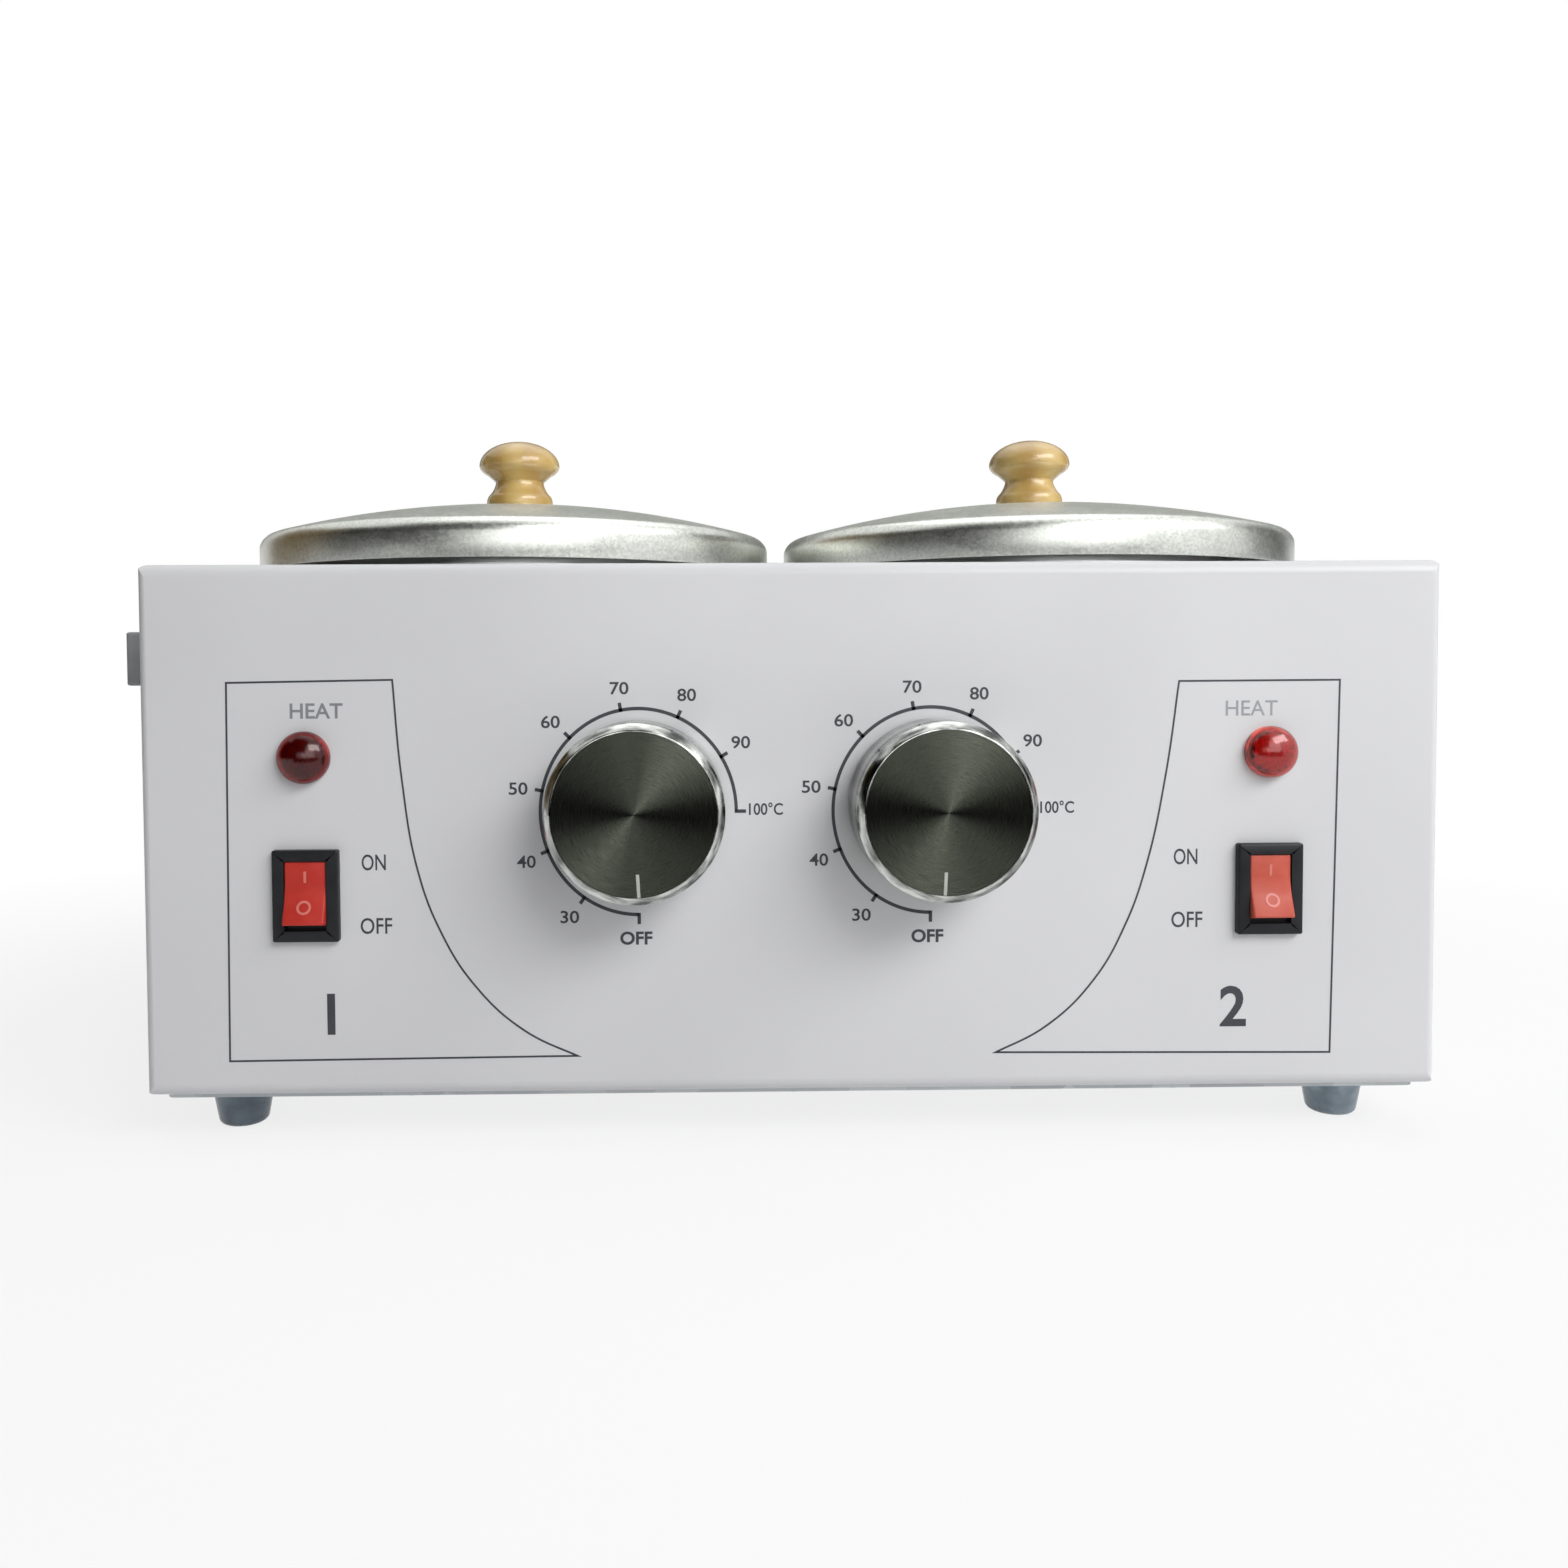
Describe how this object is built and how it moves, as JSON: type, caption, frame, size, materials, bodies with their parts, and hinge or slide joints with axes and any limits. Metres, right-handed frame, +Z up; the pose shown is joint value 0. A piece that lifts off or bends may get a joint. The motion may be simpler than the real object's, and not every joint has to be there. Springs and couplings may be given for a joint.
{
  "type": "double wax warmer",
  "caption": "White sheet-metal wax warmer with two lift-out aluminium pots, domed lids with wooden knobs, temperature dials, rocker switches and red signal lamps.",
  "frame": {"origin": "centre of the bounding box at the table, under the feet", "axes": "+X to the viewer's right when facing the dials, +Y from the front to the rear, +Z up"},
  "size_m": [0.318, 0.184, 0.1744],
  "materials": {
    "case_paint": "white powder coat",
    "zinc_steel": "zinc-plated sheet",
    "screw_steel": "zinc-plated",
    "foot_rubber": "glossy translucent blue-grey",
    "brass_parts": "plain brass",
    "gland_plastic": "moulded nylon",
    "black_rubber": "matt",
    "well_aluminium": "spun satin",
    "band_steel": "steel-clad mica band",
    "felt": "ceramic fibre felt",
    "black_plastic": "moulded",
    "ceramic_plastic": "moulded, cream",
    "copper_tube": "copper capillary tube and bulb",
    "red_lens": "clear red, faceted inside",
    "wire_cover": "heat-proof wire insulation",
    "pot_aluminium": "spun satin",
    "lid_aluminium": "fine satin, lightly sparkling",
    "turned_wood": "turned light hardwood, lacquered",
    "dial_aluminium": "bright diamond-cut edge",
    "dial_black": "spun face, black anodised",
    "red_plastic": "moulded"
  },
  "bodies": {
    "case": {"case_shell": "case_paint", "base_plate": "zinc_steel", "base_screws": "screw_steel", "foot_front_left": "foot_rubber", "foot_front_right": "foot_rubber", "foot_rear_left": "foot_rubber", "foot_rear_right": "foot_rubber", "foot_screws": "screw_steel", "foot_nuts": "brass_parts", "gland_body": "gland_plastic", "gland_locknut": "gland_plastic", "gland_seal": "black_rubber", "gland_cap": "gland_plastic", "heating_well_left": "well_aluminium", "heating_well_right": "well_aluminium", "heater_band_left": "band_steel", "heater_band_right": "band_steel", "band_clamp_screws": "screw_steel", "insulation_left": "felt", "insulation_right": "felt", "thermal_cutout_left": "black_plastic", "thermal_cutout_right": "black_plastic", "thermostat_left": "ceramic_plastic", "thermostat_right": "ceramic_plastic", "sensor_bulb_left": "copper_tube", "sensor_bulb_right": "copper_tube", "thermostat_screws": "screw_steel", "switch_housing_left": "black_plastic", "switch_housing_right": "black_plastic", "lamp_body_left": "black_plastic", "lamp_body_right": "black_plastic", "lamp_lens_left": "red_lens", "lamp_lens_right": "red_lens", "lamp_nuts": "black_plastic", "terminal_block": "ceramic_plastic", "earth_stud": "brass_parts", "supply_wires": "wire_cover", "control_wires_left": "wire_cover", "control_wires_right": "wire_cover"},
    "pot_left": {"wax_pot_left": "pot_aluminium"},
    "lid_left": {"lid_left": "lid_aluminium", "lid_knob_left": "turned_wood", "lid_screw_left": "screw_steel"},
    "dial_left": {"dial_shaft_left": "screw_steel", "dial_core_left": "black_plastic", "dial_shell_left": "dial_aluminium", "dial_face_left": "dial_black"},
    "rocker_left": {"switch_rocker_left": "red_plastic"},
    "pot_right": {"wax_pot_right": "pot_aluminium"},
    "lid_right": {"lid_right": "lid_aluminium", "lid_knob_right": "turned_wood", "lid_screw_right": "screw_steel"},
    "dial_right": {"dial_shaft_right": "screw_steel", "dial_core_right": "black_plastic", "dial_shell_right": "dial_aluminium", "dial_face_right": "dial_black"},
    "rocker_right": {"switch_rocker_right": "red_plastic"}
  },
  "joints": [
    {"name": "pot_lift_left", "type": "slide", "parent": "case", "child": "pot_left", "axis": [0, 0, 1], "range_m": [0, 0.12]},
    {"name": "lid_lift_left", "type": "slide", "parent": "pot_left", "child": "lid_left", "axis": [0, 0, 1], "range_m": [0, 0.06]},
    {"name": "dial_turn_left", "type": "hinge", "parent": "case", "child": "dial_left", "pos_m": [-0.0258, -0.072, 0.078], "axis": [0, 1, 0], "range_deg": [0, 270]},
    {"name": "rocker_tilt_left", "type": "hinge", "parent": "case", "child": "rocker_left", "pos_m": [-0.1015, -0.07046, 0.058], "axis": [1, 0, 0], "range_deg": [0, 22]},
    {"name": "pot_lift_right", "type": "slide", "parent": "case", "child": "pot_right", "axis": [0, 0, 1], "range_m": [0, 0.12]},
    {"name": "lid_lift_right", "type": "slide", "parent": "pot_right", "child": "lid_right", "axis": [0, 0, 1], "range_m": [0, 0.06]},
    {"name": "dial_turn_right", "type": "hinge", "parent": "case", "child": "dial_right", "pos_m": [0.0419, -0.072, 0.078], "axis": [0, 1, 0], "range_deg": [0, 270]},
    {"name": "rocker_tilt_right", "type": "hinge", "parent": "case", "child": "rocker_right", "pos_m": [0.1193, -0.07046, 0.058], "axis": [1, 0, 0], "range_deg": [0, 22]}
  ]
}
